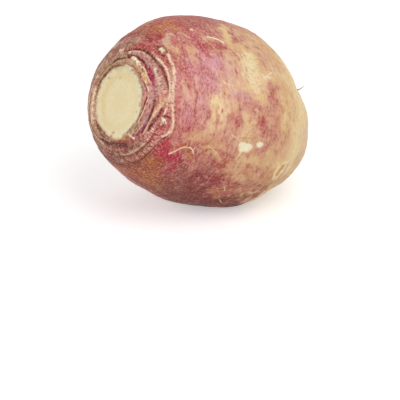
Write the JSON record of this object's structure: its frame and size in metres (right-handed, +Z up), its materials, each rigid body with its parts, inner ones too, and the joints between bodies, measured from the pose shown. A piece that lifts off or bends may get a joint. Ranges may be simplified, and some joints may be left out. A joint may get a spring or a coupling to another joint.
{
  "type": "rutabaga",
  "caption": "Whole rutabaga lying on its side, leaf end cut off flat inside rings of leaf scars, taproot trimmed to a short stub.",
  "frame": {"origin": "middle of the outline's box at the bottom, on the surface that the root rests on", "axes": "+Z up, the cut leaf end points to -X and 20.8 degrees up, the taproot points to +X and down, -Y is the side with the best view of the leaf end"},
  "size_m": [0.1414, 0.1122, 0.1166],
  "materials": {
    "skin": "satin"
  },
  "bodies": {
    "root": {"rutabaga": "skin"}
  },
  "joints": []
}
